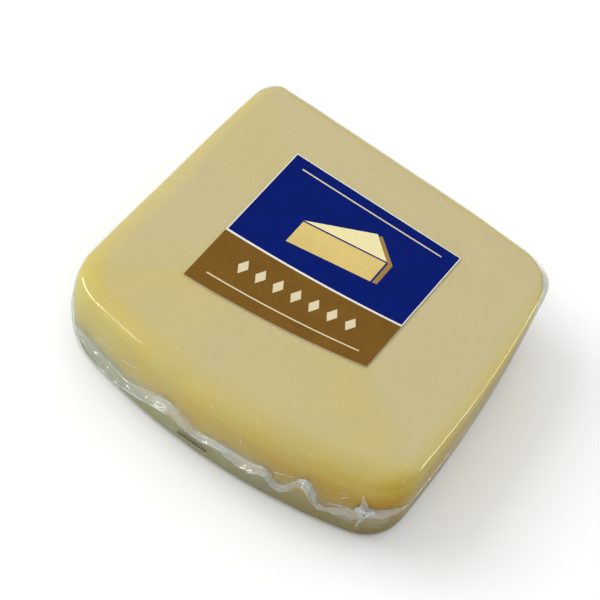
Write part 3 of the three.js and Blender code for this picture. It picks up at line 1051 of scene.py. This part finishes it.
print_material(paper, "label_stock", (0.72, 0.69, 0.58), 0.05)
print_material(blue, "blue_ink", (0.0012, 0.0088, 0.125), 0.15)
print_material(gold, "brown_gold_ink", (0.160, 0.080, 0.013), 0.15)
print_material(stripes[0], "white_ink", (0.70, 0.68, 0.62), 0.05)
for piece in (*stripes[1:], *lozenges):
    print_material(piece, "cream_ink", (0.62, 0.55, 0.36), 0.05)
print_material(wedge_top, "pale_yellow_ink", (0.74, 0.66, 0.36), 0.05)
print_material(wedge_side, "yellow_ink", (0.60, 0.46, 0.16), 0.08)
print_material(wedge_rind, "rind_ink", (0.30, 0.18, 0.05), 0.08)
for piece in (paper, blue, gold, *stripes, wedge_top, wedge_side, wedge_rind, *lozenges):
    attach(piece, "root")
    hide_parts("label")

# The studio: a plain pale floor, an even pale surround that is brighter overhead, a large soft
# lamp from the left and three smaller lamps that draw the bright lines on the film's edges.
FLOOR_HALF = 3.0
floor_mesh = bpy.data.meshes.new("floor")
corners = [(x * FLOOR_HALF, y * FLOOR_HALF, 0) for x, y in ((-1, -1), (1, -1), (1, 1), (-1, 1))]
floor_mesh.from_pydata(corners, [], [(0, 1, 2, 3)])
floor = bpy.data.objects.new("floor", floor_mesh)
bpy.context.scene.collection.objects.link(floor)
tree = material_of(floor, "pale_floor")
where = place(tree, "TexCoord").outputs["Object"]
cloud = place(tree, "TexNoise", {"Vector": where, "Scale": 6.0, "Detail": 2.0}).outputs["Fac"]
shader = tree.nodes["Principled BSDF"]
pale = blend_colours(tree, cloud, (0.90, 0.90, 0.90), (0.93, 0.93, 0.93))
tree.links.new(pale, shader.inputs["Base Color"])
shader.inputs["Roughness"].default_value = 0.8
shader.inputs["Specular IOR Level"].default_value = 0.1
floor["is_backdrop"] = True

SURROUND_LOW = (0.60, 0.60, 0.60)
SURROUND_HIGH = (1.00, 1.00, 1.00)
world = bpy.data.worlds.new("studio")
bpy.context.scene.world = world
world.use_nodes = True
tree = world.node_tree
way = place(tree, "SeparateXYZ", {0: place(tree, "TexCoord").outputs["Generated"]}).outputs[2]
share = calculate(tree, "MULTIPLY", way, 1.2, clamp=True)
sky = blend_colours(tree, share, SURROUND_LOW, SURROUND_HIGH)
tree.links.new(sky, tree.nodes["Background"].inputs["Color"])


def lamp(name, spot, aim, size, power, along=(0, 1, 0)):
    """A soft rectangular lamp at a spot, facing a point, its long side along a given way."""
    data = bpy.data.lights.new(name, "AREA")
    data.shape = "RECTANGLE"
    data.size, data.size_y = size
    data.energy = power
    made = bpy.data.objects.new(name, data)
    made.location = spot
    away = (Vector(spot) - Vector(aim)).normalized()
    up = away.cross(Vector(along)).normalized()
    made.rotation_mode = "QUATERNION"
    made.rotation_quaternion = Matrix((up.cross(away), up, away)).transposed().to_quaternion()
    bpy.context.scene.collection.objects.link(made)
    return made


key = lamp("key", (-0.80, -0.15, 0.85), (0, 0, 0), (0.7, 0.7), 6.0)
key.visible_glossy = False
right_aim, left_aim, fade_aim = (0.05, 0, 0.03), (-0.04, -0.04, 0.03), (-0.025, -0.04, 0.03)
liners = [
    lamp("right_line", (0.65, 0.53, 0.63), right_aim, (0.45, 0.28), 5.0, (-0.28, 0.84, -0.46)),
    lamp("left_line", (-0.70, -0.24, 0.754), left_aim, (0.62, 0.14), 8.0, (0.35, -0.34, 0.2)),
    lamp("left_fade", (-0.40, -0.44, 0.865), fade_aim, (0.20, 0.14), 0.7, (0.35, -0.11, 0.1)),
]
for liner in liners:
    liner.visible_diffuse = False

# The camera looks down on the pack from the front right through a long lens, and is rolled. Its
# angles, distance and aim come from the same fit to the photo as the plan's corners.
AZIMUTH = math.radians(22.404)
ELEVATION = math.radians(56.280)
ROLL = math.radians(14.374)
DISTANCE = 0.34836
AIM = Vector((0.0011, -0.0096, 0.0300))
SENSOR_WIDTH = 36
LENS = 84
camera_data = bpy.data.cameras.new("camera")
camera_data.sensor_width = SENSOR_WIDTH
camera_data.lens = LENS
camera = bpy.data.objects.new("camera", camera_data)
bpy.context.scene.collection.objects.link(camera)
level = math.cos(ELEVATION)
back = Vector((math.sin(AZIMUTH) * level, -math.cos(AZIMUTH) * level, math.sin(ELEVATION)))
camera.location = AIM + back * DISTANCE
camera.rotation_mode = "QUATERNION"
camera.rotation_quaternion = back.to_track_quat("Z", "Y") @ Quaternion((0, 0, 1), ROLL)
bpy.context.scene.camera = camera
bpy.context.scene.view_settings.view_transform = "Standard"

low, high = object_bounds()
